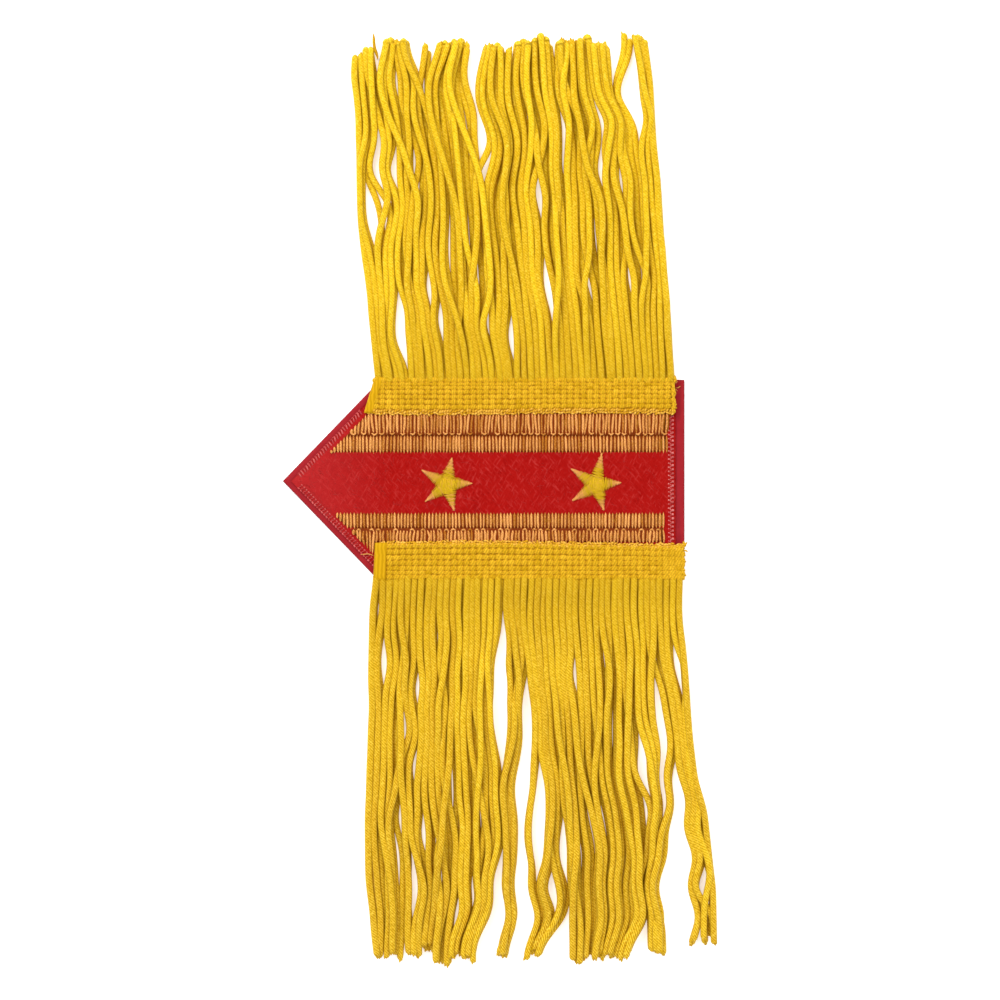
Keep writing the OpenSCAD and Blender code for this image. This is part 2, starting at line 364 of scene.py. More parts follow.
def thread_tree():
    """Geometry Nodes: lays an arched thread with rounded ends on each point, sized and turned as it says."""
    given = new_tree("threads", "Points", "Threads", rings=7, sides=6, dip=0.8, end=0.2,
                     turn_spread=0.0, size_spread=0.0, seed=1)

    def vector(**axes):
        return given.make("ShaderNodeCombineXYZ", None, axes)

    def chance(spread, offset):
        return given.make("FunctionNodeRandomValue", {"data_type": "FLOAT"},
                          {2: spread * -1, 3: spread, "Seed": given.out("Seed") + offset}, out=1)

    line = given.make("GeometryNodeCurvePrimitiveLine", None, {"Start": (-0.5, 0, 0), "End": (0.5, 0, 0)})
    line = line.through("GeometryNodeResampleCurve", None, {"Count": given.out("Rings")})
    # The outer half of the rings shapes the rounded end, which takes up the share End of half the length
    side = given.make("GeometryNodeSplineParameter", out="Factor") * 2 - 1
    off = given.math("ABSOLUTE", side)
    end = given.out("End")
    around_end = given.math("MAXIMUM", off * 2 - 1, 0.0) * (math.pi / 2)
    reach = given.math("MINIMUM", off * 2, 1.0) * (1 - end) + given.math("SINE", around_end) * end
    round_end = given.math("MAXIMUM", given.math("COSINE", around_end), 0.12)
    dive = given.math("MAXIMUM", (reach - 1 + end * 2.2) / (end * 2.2), 0.0)
    x = given.math("SIGN", side) * reach * 0.5
    line = line.through("GeometryNodeSetPosition", None, {"Position": vector(X=x)})
    line = note(line, "along", x + 0.5)
    line = note(line, "drop", dive * dive * given.out("Dip"))
    line = note(line, "arch", 1 - reach * reach)
    thread = line.through("GeometryNodeCurveToMesh", None, {
        "Profile Curve": round_profile(given, 0.5), "Scale": round_end, "Fill Caps": True})
    # The ends are bent down after the sweep, so that the rings stay upright and the thread keeps its length
    thread = thread.through("GeometryNodeSetPosition", None, {"Offset": vector(Z=noted(given, "drop") * -1)})
    thread = thread.through("GeometryNodeSetShadeSmooth")
    spread = given.out("Size Spread")
    turn = noted(given, "turn")
    size = vector(X=noted(given, "long") * (chance(spread, 7) * 0.4 + 1),
                  Y=noted(given, "wide") * (chance(spread, 13) + 1),
                  Z=noted(given, "high") * (chance(spread, 29) + 1))
    laid = given.through("GeometryNodeInstanceOnPoints", None, {
        "Instance": thread, "Rotation": vector(Z=turn + chance(given.out("Turn Spread"), 0)), "Scale": size})
    laid = laid.through("GeometryNodeRealizeInstances")
    # A thread bows sideways in its middle
    bow = noted(given, "bow") * noted(given, "arch")
    laid = laid.through("GeometryNodeSetPosition", None, {
        "Offset": vector(X=given.math("SINE", turn) * bow * -1, Y=given.math("COSINE", turn) * bow)})
    return end_tree(given, laid)


THREADS = thread_tree()


def grow(name, points, edges, notes, tree, finish, **inputs):
    """Runs a Geometry Nodes tree once on bare points in millimetres, and keeps a plain mesh."""
    mesh = bpy.data.meshes.new(name + "_points")
    mesh.from_pydata([tuple(0.001 * c for c in point) for point in points], edges, [])
    for key, value in notes.items():
        mesh.attributes.new(key, "FLOAT", "POINT").data.foreach_set("value", np.array(value, np.float32))
    carrier = put(name + "_points", mesh)
    step = carrier.modifiers.new("grow", "NODES")
    step.node_group = tree
    values = {"Finish": finish, **titled(inputs)}
    for item in tree.interface.items_tree:
        if item.in_out == "INPUT" and item.name in values:
            step[item.identifier] = values[item.name]
    graph = bpy.context.evaluated_depsgraph_get()
    grown = bpy.data.meshes.new_from_object(carrier.evaluated_get(graph), depsgraph=graph)
    grown.name = name
    carrier.modifiers.remove(step)
    bpy.data.objects.remove(carrier)
    return put(name, grown)


def lay_threads(name, rows, finish, slot, node=None, **inputs):
    """Threads from rows of x, y, z, turn, long, wide, high, tone and maybe bow, in mm and degrees."""
    table = np.array([(*row, 0.0)[:9] for row in rows], float)
    units = {"turn": math.radians(1), "long": 0.001, "wide": 0.001, "high": 0.001, "tone": 1, "bow": 0.001}
    notes = {key: unit * column for (key, unit), column in zip(units.items(), table.T[3:])}
    settle(grow(name, table[:, :3], [], notes, THREADS, finish, **inputs), node)


def mark(place, name):
    """What a finished mesh has noted at each of its points under a name."""
    return place.make("ShaderNodeAttribute", {"attribute_name": name}, out="Fac")


def plies(run, pitch, count):
    """The strands of a twisted thread: 1 on top of a strand and 0 in the groove between two."""
    turn = run.math("ARCTAN2", mark(run, "around_s"), mark(run, "around_c")) / (2 * math.pi)
    return run.math("ABSOLUTE", run.math("SINE", (run / pitch + turn * count) * math.pi))


def thread_finish(name, dark, light, roughness, shine=0.25, pitch=0.34, grain=0.6, groove_shade=0.5):
    """A dyed thread: lighter or darker from thread to thread, twisted from strands, with painted shade in the
    grooves.
    """
    material, place, shader = new_finish(name, roughness, shine, tuple(c / max(light) for c in light))
    strands = plies(mark(place, "along") * mark(place, "long") * 1000, pitch, 2)
    fibres = noise(place, 2400.0, 3.0, 0.7)
    paint(shader, between(mark(place, "tone") + fibres * grain - grain / 2, dark, light),
          ((1 - strands) * groove_shade, tuple(0.55 * c for c in dark)))
    emboss(shader, strands + fibres * 0.5, 0.8, 0.00012)
    return material


felt_fibre, place, shader = new_finish("felt_fibre", 1.0, 0.0)
paint(shader, between(mark(place, "tone") * 0.8 + noise(place, 400.0) * 0.4 - 0.1,
                      (0.4, 0.012, 0.01), (0.55, 0.07, 0.07)))
dice = np.random.default_rng(11)
fibres = []
while len(fibres) < FIBRES:
    x, y = dice.uniform(-64, 61.5), dice.uniform(-11, 8.2)
    # More of them have worked loose near the point
    if x > slant_x(y, RIM_W + 1.5) and dice.uniform(0, 1) < 0.25 + 0.75 * math.exp(-(x + 64) / 30):
        long = dice.uniform(0.8, 3.0)
        fibres.append((x, y, FACE_Z + 0.05, dice.normal(-50, 30), long, 0.07, 0.05, dice.uniform(0, 1) ** 1.5,
                       long * dice.normal(0, 0.1)))
lay_threads("felt_fibres", fibres, felt_fibre, "felt", rings=8, sides=3, dip=1.5, end=0.5)

# Edge stitching
# The felt is held to the board by a red overlocked seam along the two slanted edges,
# and by a narrow pink zigzag down the straight end.
SEAM_IN, SEAM_START, SEAM_PITCH = 2.9, 2.6, 1.08
SEAM_Z = FACE_Z - 0.62
# The seam ends where a heading covers it, above and below the middle line
SEAM_TO = {1: 21.6, -1: 29}
# The threads of a stitch: place right and up, height, turn, long, wide, high, darkest and lightest tone
SEAM_THREADS = {
    1: [(0, 0, 0.2, -64, 2.1, 0.5, 0.5, 0.2, 1), (-0.55, 0.6, 0.08, 46, 1.1, 0.4, 0.4, 0, 0.5)],
    -1: [(0.55, 0.6, 0.22, -40, 1.05, 0.5, 0.5, 0.3, 1), (-0.5, -0.45, 0.18, -46, 1.1, 0.5, 0.5, 0.2, 1),
         (0, 0.1, 0.06, 20, 1.4, 0.36, 0.32, 0, 0.4)]}
ZIGZAG_X, ZIGZAG_START, ZIGZAG_PITCH, ZIGZAG_COUNT = 60.45, -20.4, 0.66, 62
seam_thread = thread_finish("seam_thread", (0.5, 0.035, 0.04), (0.82, 0.17, 0.16), 0.5)
zigzag_thread = thread_finish("zigzag_thread", (0.45, 0.03, 0.03), (0.95, 0.32, 0.3), 0.5)
seam = []
for side in (1, -1):
    for k in range(int(((HALF_W - 1.0) / math.sin(POINT_ANGLE) - 3) / SEAM_PITCH)):
        y = -POINT_DROP + side * (SEAM_START + k * SEAM_PITCH) * math.sin(POINT_ANGLE)
        if abs(y) > SEAM_TO[side]:
            continue
        x = slant_x(y, SEAM_IN)
        lean = dice.uniform(-9, 9)
        for right, up, height, turn, long, wide, high, dark, light in SEAM_THREADS[side]:
            seam.append((x + right, y + up, SEAM_Z + height, turn + lean, long, wide, high,
                         dice.uniform(dark, light)))
lay_threads("overlock_seam", seam, seam_thread, "backing_cloth",
            turn_spread=0.12, size_spread=0.18, seed=3, rings=9, end=0.3)

zigzag = []
for k in range(ZIGZAG_COUNT):
    y = ZIGZAG_START + k * ZIGZAG_PITCH
    swing = 1 if k % 2 else -1
    zigzag.append((ZIGZAG_X + 0.12 * swing, y, SEAM_Z + 0.15, 90 - 52 * swing, 1.7, 0.46, 0.46,
                   dice.uniform(0, 0.6)))
    zigzag.append((ZIGZAG_X + 0.68 * swing, y + 0.3, SEAM_Z + 0.25, 90, 0.95, 0.66, 0.6,
                   dice.uniform(0.3, 1)))
lay_threads("end_zigzag", zigzag, zigzag_thread, "backing_cloth",
            turn_spread=0.15, size_spread=0.2, seed=5, rings=9, end=0.4)

# Stripes
# Two doubled rows of satin stitching. Each stitch is one thick orange-gold thread that crosses
# its row from edge to edge, and brown underlay shows in the grooves between the threads.
STRIPE_INSET = 4.5
STITCH_PITCH, STITCH_W, STITCH_H, STITCH_Z = 1.09, 0.78, 0.62, FACE_Z + 0.4
TURN_BULGE = 0.42
# The heading of the lower fringe covers the outer row, apart from its upper edge and its left end
COVERED_X, COVERED_Y = -35.2, -21.0
# Lower and upper edge of the stitching and of the ground under it, right end, seed, lean of the threads,
# and the share of threads that turns back into its neighbour
ROWS = {
    "stripe_upper_inner": (8.2, 14.05, 8.6, 13.8, 58.9, 21, 0.8, 0.0),
    "stripe_upper_outer": (14.2, 21.9, 13.5, 21.7, 58.9, 22, 2.6, 0.45),
    "stripe_lower_inner": (-16.2, -10.9, -15.9, -11.3, 58.4, 23, 0.8, 0.0),
    "stripe_lower_outer": (-24.3, -16.3, -20.6, -15.7, 58.4, 24, 3.0, 0.4)}

underlay, place, shader = new_finish("stripe_underlay", 0.75)
paint(shader, between(noise(place, 700.0, 3.0), (0.11, 0.012, 0.0004), (0.24, 0.04, 0.0012)))
emboss(shader, noise(place, 1400.0), 0.6, 0.0002)
satin = thread_finish("satin_thread", (0.42, 0.13, 0.01), (0.95, 0.44, 0.13), 0.45, 0.35, 0.9, 2.8, 0.6)
low_thread = thread_finish("stripe_low_thread", (0.3, 0.08, 0.004), (0.5, 0.2, 0.02), 0.5, 0.25)


def skirted(points, n, foot):
    """A strip's points and faces: a grid in rows of n points on top, walls down to foot, and a bottom."""
    rows, base = len(points) // n, len(points)
    faces = [(a, a + n, a + n + 1, a + 1) for i in range(rows - 1) for a in range(i * n, i * n + n - 1)]
    border = [*range(0, base, n), *range(base - n + 1, base), *range(base - n - 1, 0, -n),
              *range(n - 2, 0, -1)]
    for k, a in enumerate(border):
        m = (k + 1) % len(border)
        points.append((*points[a][:2], foot))
        faces.append((a, base + k, base + m, border[m]))
    faces.append(tuple(range(len(points) - 1, base - 1, -1)))
    return points, faces


def underlay_strip(y_low, y_high, right):
    """The low brown ground of a row, with a rounded cross-section and its left end along the slanted edge."""
    across = np.linspace(0, 1, 7)
    points = []
    for share in np.linspace(0, 1, 40):
        for t in across:
            y = y_low + t * (y_high - y_low)
            left = slant_x(y, STRIPE_INSET + 0.3)
            height = 0.34 * math.sqrt(max(0.0, 1 - (2 * t - 1) ** 6)) * (0 < share < 1)
            points.append((left + share * (right - left), y, FACE_Z + height))
    return skirted(points, len(across), FACE_Z - 0.15)


def satin_row(y_low, y_high, right, seed, lean, loops):
    """One row of satin threads, some leaning or bent, and the turns where they go back into the next one."""
    dice = np.random.default_rng(seed)
    rows, turns = [], []
    x = slant_x((y_low + y_high) / 2, STRIPE_INSET) - 3
    bend = 0.0
    before = None
    # The turns bulge out of the row towards the board's middle line
    out = -1 if y_low > 0 else 1
    while x < right - 0.4:
        x += STITCH_PITCH * dice.uniform(0.86, 1.14)
        bend = 0.6 * bend + dice.normal(0, lean)
        low, high = y_low + dice.normal(0, 0.06), y_high + dice.normal(0, 0.06)
        reach = (x + HALF_L - STRIPE_INSET / math.sin(POINT_ANGLE)) * math.tan(POINT_ANGLE)
        if y_low >= 0:
            high = min(high, reach - POINT_DROP)
        else:
            low = max(low, -reach - POINT_DROP)
        if high - low < 0.9:
            continue
        tone = np.clip(dice.normal(0.6, 0.3), 0, 1)
        wide = STITCH_W * dice.uniform(0.85, 1.12)
        rows.append((x, (low + high) / 2, STITCH_Z, 90 + bend, high - low, wide, STITCH_H, tone,
                     dice.normal(0, 0.06 * lean)))
        if before is not None and dice.uniform(0, 1) < loops:
            turns.append(((x + before) / 2, (low if y_low > 0 else high) - 0.45 * out, STITCH_Z,
                          dice.normal(0, 6), x - before + 0.7, 0.66, 0.6, tone, TURN_BULGE * out))
            before = None
        else:
            before = x
    return rows, turns


for name, (y_low, y_high, ground_low, ground_high, right, seed, lean, loops) in ROWS.items():
    strip = underlay_strip(ground_low, ground_high, right)
    mesh_piece(name + "_underlay", *strip, underlay, "stripe_thread", name)
    rows, turns = satin_row(y_low, y_high, right, seed, lean, loops)
    stitches = []
    for x, y, z, turn, long, wide, high, tone, bow in rows:
        if name == "stripe_lower_outer" and x > COVERED_X:
            top, bottom = y + long / 2, max(y - long / 2, COVERED_Y)
            if top - bottom < 0.8:
                continue
            y, long = (top + bottom) / 2, top - bottom
        stitches.append((x, y, z, turn, long, wide, high, tone, bow))
    lay_threads(name + "_stitches", stitches, satin, "stripe_thread", name,
                turn_spread=0.02, size_spread=0.08, seed=seed, rings=11, sides=8, end=0.08, dip=0.35)
    if turns:
        lay_threads(name + "_turns", turns, satin, "stripe_thread", name,
                    seed=seed, rings=11, sides=8, end=0.2, dip=0.2)
    # Lower golden threads fill some of the grooves
    dice = np.random.default_rng(seed + 10)
    low = [(x + 0.55, y, z - 0.2, turn, long - 0.5, 0.5, 0.5, dice.uniform(0, 1), bow)
           for x, y, z, turn, long, wide, high, tone, bow in stitches
           if long > 1.2 and dice.uniform(0, 1) < 0.2]
    lay_threads(name + "_low_threads", low, low_thread, "stripe_thread", name,
                rings=7, sides=6, end=0.15, seed=seed)

# Stars
# Each star is embroidered in gold thread. The stitches cross its arms from edge to edge and
# meet in the middle, where the thread lies thickest.
STAR_INNER, STAR_PITCH = 3.6, 0.42
ROOT_D, ROOT_HALF = STAR_INNER * math.cos(math.radians(36)), STAR_INNER * math.sin(math.radians(36))
MIDDLE_R, MIDDLE_COUNT = 2.5, 11
# Middle of each star, then the direction and the reach of each arm
STARS = {
    "star_front": (-11.7, -1.8, 31, [(2, 8.2), (80, 8.9), (151, 9.6), (218, 9.2), (284, 8.8)]),
    "star_rear": (36.4, -1.9, 32, [(4, 8.1), (80, 10.6), (148, 9.8), (214, 9.4), (286, 8.9)])}
star_thread = thread_finish("star_thread", (0.75, 0.49, 0.006), (1.0, 0.4, 0.16), 0.42, 0.4, 0.8, 2.0, 0.9)
for name, (cx, cy, seed, arms) in STARS.items():
    dice = np.random.default_rng(seed)
    stitches = []
    for angle, reach in arms:
        ca, sa = math.cos(math.radians(angle)), math.sin(math.radians(angle))
        d = 0.6
        while d < reach - 0.2:
            share = min(1.0, (reach - d) / (reach - ROOT_D))
            slope, jag = 80 + dice.normal(0, 2), dice.normal(0, 0.04)
            stitches.append((cx + d * ca - jag * sa, cy + d * sa + jag * ca, FACE_Z + 0.3 + 0.4 * share ** 2,
                             angle + slope, 2 * ROOT_HALF * share + 0.2 + abs(dice.normal(0, 0.2)), 0.4, 0.5,
                             np.clip(1.4 - 1.5 * share + dice.normal(0, 0.22), 0, 1)))
            d += STAR_PITCH * dice.uniform(0.9, 1.1)
        # The last stitch lies along the arm and closes its tip
        d = reach - 1.1
        stitches.append((cx + d * ca, cy + d * sa, FACE_Z + 0.3, angle, 2.2, 0.42, 0.5, 0.9))
    # The raised middle, where short upright stitches lie side by side
    for k in range(MIDDLE_COUNT):
        off = (k - MIDDLE_COUNT // 2) * STAR_PITCH
        stitches.append((cx + off, cy + dice.normal(0, 0.15), FACE_Z + 0.85 + 0.06 * dice.normal(0, 1),
                         84 + dice.normal(0, 5), 2 * math.sqrt(max(0.2, MIDDLE_R ** 2 - off * off)),
                         0.5, 0.55, dice.uniform(0, 0.15)))
    lay_threads(name + "_stitches", stitches, star_thread, "star_thread", name,
                turn_spread=0.03, size_spread=0.08, seed=seed, rings=9, sides=6, end=0.14, dip=0.4)

# Headings
# A flat braid of gold gimp carries each fringe. Fine cord loops over its warp threads in rows of
# small slanting beads, its left end is folded under smooth, and its inner edge is looped.
HEADING_OUT = HALF_W + 0.6
BRAID_Z = FACE_Z + 0.95
# Inner edge, left end at the inner and at the outer edge, right end, pitch of the beads, where they start,
# width of the fold at the left end, seed
HEADINGS = {"upper": (21.3, -38.3, -34.9, 61.4, 2.09, 3.6, 2.9, 41),
            "lower": (20.8, -34.8, -35.3, 64.6, 2.07, 4.6, 4.1, 42)}
# Rows of beads: distance from the board's middle line, width across the row, height over the ground
BEADS = {
    "upper": [(23.4, 1.55, 0.65), (24.95, 1.65, 0.75), (26.5, 1.5, 0.65), (27.95, 1.5, 0.7),
              (29.3, 1.25, 0.55), (30.45, 1.25, 0.55), (31.7, 1.5, 0.65)],
    "lower": [(22.0, 1.6, 0.6), (23.7, 1.9, 0.8), (25.5, 1.7, 0.5), (27.2, 1.9, 0.75), (28.9, 1.7, 0.65),
              (30.3, 1.4, 0.6), (31.7, 1.6, 0.65)]}
BEAD_L, BEAD_LEAN = 2.36, 9
LOOP_PITCH = 0.85
WOUND_COUNT, WOUND_PITCH = 26, 0.45
FOLD_ROWS, FOLD_COLS = 16, 12

braid_ground, place, shader = new_finish("braid_ground", 0.7)
rough = noise(place, 900.0, 3.0)
paint(shader, between(rough, (0.26, 0.11, 0.001), (0.42, 0.2, 0.002)))
emboss(shader, rough, 0.7, 0.0003)
braid_thread = thread_finish("braid_thread", (0.5, 0.26, 0.003), (0.88, 0.51, 0.028), 0.5, 0.25,
                             0.8, 2.6, 0.55)
edge_thread = thread_finish("edge_thread", (0.62, 0.3, 0.006), (1.0, 0.58, 0.1), 0.5, 0.25, 0.8, 2.2)
fold_cloth, place, shader = new_finish("folded_braid", 0.6, 0.2, (1, 0.7, 0.1))
ribs = place.make("ShaderNodeTexWave", {"wave_type": "BANDS", "bands_direction": "X"},
                  {"Vector": place, "Scale": 260.0, "Distortion": 3.0, "Detail": 2.0, "Detail Scale": 1.5},
                  out="Fac")
paint(shader, between(ribs, (0.48, 0.25, 0.003), (0.64, 0.35, 0.007)))
emboss(shader, ribs, 0.35, 0.0002)


def swollen(value, power):
    """A cosine or sine drawn towards 1 or -1, so that a round section becomes a fuller one."""
    return math.copysign(abs(value) ** power, value)


for side, name in ((1, "upper"), (-1, "lower")):
    inner, left_in, left_out, right, pitch, bead_start, fold_w, seed = HEADINGS[name]
    dice = np.random.default_rng(seed)

    def left_at(y):
        return left_in + (left_out - left_in) * (y - inner) / (HEADING_OUT - inner)

    def inner_wave(x):
        """The looped inner edge runs in shallow scallops, and sags or rises over the length."""
        sag = 0.45 * math.sin((x + 40) / 17)
        if side < 0:
            sag = 0.5 * math.sin((x + 30) / 19) - 0.015 * max(0.0, x - 10)
        return 0.22 * abs(math.sin(x * math.pi / 3.9)) + sag * 0.55

    across = np.linspace(0, 1, 14)
    points = []
    for share in np.linspace(0, 1, 90):
        for t in across:
            y = inner + t * (HEADING_OUT - inner)
            x = left_at(y) + share * (right - left_at(y))
            edge = min(1.0, min(share, 1 - share) * 40, min(t, 1 - t) * 12 + 0.3)
            height = 0.95 * math.sqrt(edge) - 0.12 * (t > 0.97)
            points.append((x, y - (1 - t) * inner_wave(x), FACE_Z + height))
    strip = skirted(points, len(across), FACE_Z + 0.02)
    mesh_piece(f"braid_ground_{name}", *strip, braid_ground, "fringe_cord", f"fringe_{name}", side)

    beads = []
    for k, (row_y, wide, high) in enumerate(BEADS[name]):
        x = left_at(inner) + bead_start
        while x < right - 0.6:
            y = row_y - inner_wave(x) * max(0.0, 1 - 0.3 * k)
            big = 1.0 + 0.3 * max(0.0, 1 - (right - x) / 9) * (side < 0)
            beads.append((x + dice.normal(0, 0.05), side * (y + dice.normal(0, 0.05)), BRAID_Z + 0.25 * high,
                          side * BEAD_LEAN + dice.normal(0, 4), BEAD_L * big, 1.2 * wide * big, high,
                          np.clip(dice.normal(0.5, 0.12), 0, 1)))
            x += pitch
    # The loops of the inner edge, and the slanting threads behind them
    x = left_at(inner) + 1.2
    loops = []
    while x < right - 0.2:
        y = inner - inner_wave(x) + dice.normal(0, 0.14)
        loops.append((x, side * y, FACE_Z + 0.75, dice.normal(0, 35), 1.5, 0.7, 0.7, dice.uniform(0, 1)))
        loops.append((x, side * (y + 0.8), FACE_Z + 1.0, side * (40 + dice.normal(0, 14)), 1.7, 0.75, 0.7,
                      dice.uniform(0, 0.6)))
        x += LOOP_PITCH * dice.uniform(0.8, 1.2)
    lay_threads(f"braid_edge_{name}", loops, edge_thread, "fringe_cord", f"fringe_{name}",
                turn_spread=0.1, size_spread=0.15, seed=60 + side, rings=9, sides=7, end=0.6, dip=0.5)
    # The right end, where the cut braid is wound over
    for k in range(WOUND_COUNT):
        y = inner + 0.3 + k * WOUND_PITCH
        beads.append((right - 0.3 + dice.normal(0, 0.3), side * y, FACE_Z + 0.75 + dice.uniform(0, 0.3),
                      90 + dice.normal(0, 35), 1.9, 0.9, 0.8, 0.55))
    lay_threads(f"braid_beads_{name}", beads, braid_thread, "fringe_cord", f"fringe_{name}",
                turn_spread=0.05, size_spread=0.07, seed=50 + side, rings=9, sides=8, end=0.9, dip=0.35)

    # The folded left end
    points, faces = [], []
    for i in range(FOLD_ROWS + 1):
        t = i / FOLD_ROWS
        y = inner - 0.15 + t * (HEADING_OUT - inner + 0.3)
        end = {0: 0.45, 1: 0.85}.get(min(i, FOLD_ROWS - i), 1.0)
        for j in range(FOLD_COLS):
            around = 2 * math.pi * j / FOLD_COLS
            bulge = 0.62 + 0.06 * math.sin(t * 9 + j)
            x = left_at(y) + fold_w / 2 - 0.25 + fold_w / 2 * swollen(math.cos(around), 0.6)
            z = FACE_Z + 0.85 + bulge * end * swollen(math.sin(around), 0.75)
            points.append((x, y, max(FACE_Z + 0.05, z)))
            if i < FOLD_ROWS:
                a, b = i * FOLD_COLS + j, i * FOLD_COLS + (j + 1) % FOLD_COLS
                faces.append((a, a + FOLD_COLS, b + FOLD_COLS, b))
    faces += [tuple(range(FOLD_COLS)), tuple(range(len(points) - 1, len(points) - 1 - FOLD_COLS, -1))]
    mesh_piece(f"braid_fold_{name}", points, faces, fold_cloth, "fringe_cord", side=side)

# Fringes
# Twisted gold cords hang double from the headings. In the upper fringe many still end in a closed loop,
# and the others are cut. They drop over the board's edge to the table and lie there loosely.
CORD_R, DROP_L = 1.0, 9.0
# How high an upper leg lies over the under legs, and how much higher where it crosses others. How unevenly
# the legs lie, and how far two of them keep apart for each millimetre of their radius
UPPER_LIFT, CROSSING_LIFT, UNEVEN, APART = 1.55, 1.6, 0.55, 1.85
# A gap opens and closes over its ease, and moves the cords up to its reach away, further for a wide gap
GAP_EASE, GAP_REACH, PUSH_REACH, GAP_WIDER = 14, 3.5, 2, 0.6
# Outline of each fringe: distance from the heading, left edge, right edge
EDGES = {
    "upper": [(0, -34.7, 61.3), (20, -36.8, 60.2), (35, -38.6, 58.7), (50, -40.3, 58), (60, -40.6, 57.2),
              (75, -40.8, 55.4), (95, -42.7, 54.3), (112, -41.6, 52)],
    "lower": [(0, -35.5, 64.1), (10, -36.5, 63.9), (30, -36.9, 65.7), (50, -37.4, 67.1), (65, -37.8, 69),
              (75, -38, 72), (100, -37.8, 74.7), (125, -34.5, 75.1)]}
# Gaps: the cord after which one opens, where it starts and ends, how far it pushes the cords left and right
GAPS = {
    "upper": [(1, 6, 20, 1, 1.8), (1, 94, 140, 1.6, 3), (2, 38, 69, 2.4, 1.6), (3, 42, 84, -0.2, 3.6),
              (4, 94, 124, 1.8, 3.2), (5, 3, 22, 4.2, -0.4), (5, 14, 30, 1.2, 1.8), (5, 58, 77, 3.8, -0.6),
              (7, 88, 104, 0.2, 1.8), (8, 56, 78, 1.1, 0.6), (10, 21, 37, 2.2, 0.2), (11, 93, 126, 4.2, 2.8),
              (11, 10, 27, 1, 2.2), (12, 94, 125, 2.4, 1.8), (19, 11, 24, 3, -1.3), (19, 60, 91, -0.6, 4.8),
              (19, 84, 140, 2.8, 1.8), (19, 98, 140, -2.4, 3), (22, 3, 23, 1.5, 0.7),
              (24, 98, 122, 1.8, 2.6), (28, 17, 42, 0.5, 1.6), (28, 50, 69, 1.1, 1.3),
              (32, 56, 90, 1.6, -0.8), (32, 100, 121, 1.2, 0.4), (35, 21, 41, 1.7, 0.5),
              (38, 60, 75, 2.2, -0.8), (38, 77, 89, -3.4, 5.6), (41, 25, 40, 0.4, 2.6),
              (41, 56, 72, 1.6, 2.2), (42, 94, 128, 3.4, 0.8), (44, 75, 107, 3.7, 0), (44, 72, 113, 0, 1)],
    "lower": [(1, 3, 16, 0.4, 1), (2, 17, 38, 0.7, 1.6), (5, 41, 58, 1, 2.4), (5, 70, 83, 0.9, 0.5),
              (5, 115, 137, 0.7, 0.7), (6, 90, 111, -1, 2.9), (7, 28, 41, 1.4, 1.8), (7, 52, 68, 0.9, 1),
              (8, 74, 90, 1.5, 1.1), (9, 103, 110, 0.4, 0.4), (10, 14, 23, -0.2, 1.6), (11, 33, 45, 0.6, 1),
              (13, 75, 83, 0.9, 0.4), (13, 101, 114, 2.2, 1.8), (14, 27, 37, 0.9, 0.6),
              (15, 95, 107, -1, 3.2), (20, 15, 66, 1.2, 0), (20, 8, 61, 0, 2.2), (22, 20, 35, 1.4, 1.4),
              (20, 84, 150, 1.6, 2.6), (20, 102, 150, 3.7, 0), (23, 28, 78, 2, 1.6),
              (23, 58, 150, 2.9, -0.6), (23, 84, 150, 3, -0.8), (23, 104, 150, 0, 0.5),
              (24, 52, 78, -0.8, 0), (24, 52, 99, 0.6, 3), (26, 92, 109, 4.4, 1.6), (27, 76, 98, 1.3, 0.8),
              (27, 106, 150, 5.6, 4.2), (31, 23, 39, 2, -0.2), (40, 46, 86, -2.2, 5),
              (40, 107, 150, 8.2, -3), (43, 22, 87, -0.4, 3), (43, 46, 88, 2.6, -2.4), (44, 54, 150, 3.4, 0),
              (44, 76, 150, 1, 3), (44, 82, 122, 0, 1.2), (44, 62, 86, 1, -1.2), (44, 100, 150, 0.4, -0.8),
              (44, 108, 150, -2, 0), (45, 108, 150, 2.4, 0.4), (46, 19, 41, 0.2, 4.2),
              (47, 51, 71, 3.4, 1.8), (46, 89, 110, 5.4, 0.6), (47, 72, 87, 2.8, 0.6),
              (47, 105, 123, 1.8, 1.2)]}
# Length of the fringe: the cord from the left, the distance of its tip from the heading
TIPS = {
    "upper": [(0, 102.5), (1.5, 104.5), (4, 106), (7, 108), (10, 108), (11, 105.5), (12.5, 106.5),
              (15, 107.6), (19.2, 109.2), (20, 104.5), (21, 105), (22.5, 106.8), (24, 104.5), (25.5, 106),
              (28, 109), (34, 108), (38, 108.3), (41, 107.5), (42.5, 110), (44, 110.5), (47, 109)],
    "lower": [(0, 120.8), (5, 121.6), (7, 119.5), (8.3, 119.5), (9, 124), (11, 124.2), (12.2, 121.5),
              (16, 122.5), (19, 121.5), (22, 121.5), (26, 120.5), (28, 123.5), (32, 122), (42, 120.5),
              (44, 117.3), (48, 116)]}
CORDS = {"upper": 47, "lower": 48}
# Cords that cross over their neighbours: the place they lie in, the distances where they set off and arrive,
# and how many places they move to the right
CROSSINGS = {
    "upper": [(19, 54, 98, -4), (14, 48, 72, -2), (8, 52, 94, -4), (12, 70, 104, -3), (30, 35, 70, 1),
              (37, 44, 84, -2), (26, 70, 100, 1), (41, 20, 58, -1), (45, 80, 104, -1), (16, 30, 62, 1),
              (23, 24, 60, -2), (33, 12, 44, 2), (6, 20, 48, 1), (35, 84, 106, -2)],
    "lower": [(4, 40, 80, 1), (12, 46, 84, -1), (17, 30, 70, -2), (30, 44, 90, 2), (34, 30, 76, -2),
              (37, 60, 104, 2), (25, 84, 104, 1), (46, 92, 112, -1), (9, 90, 116, 1), (15, 60, 96, 2),
              (39, 20, 60, -1), (29, 90, 118, -1), (2, 70, 108, 1), (24, 82, 96, 1), (45, 101, 114, 1)]}
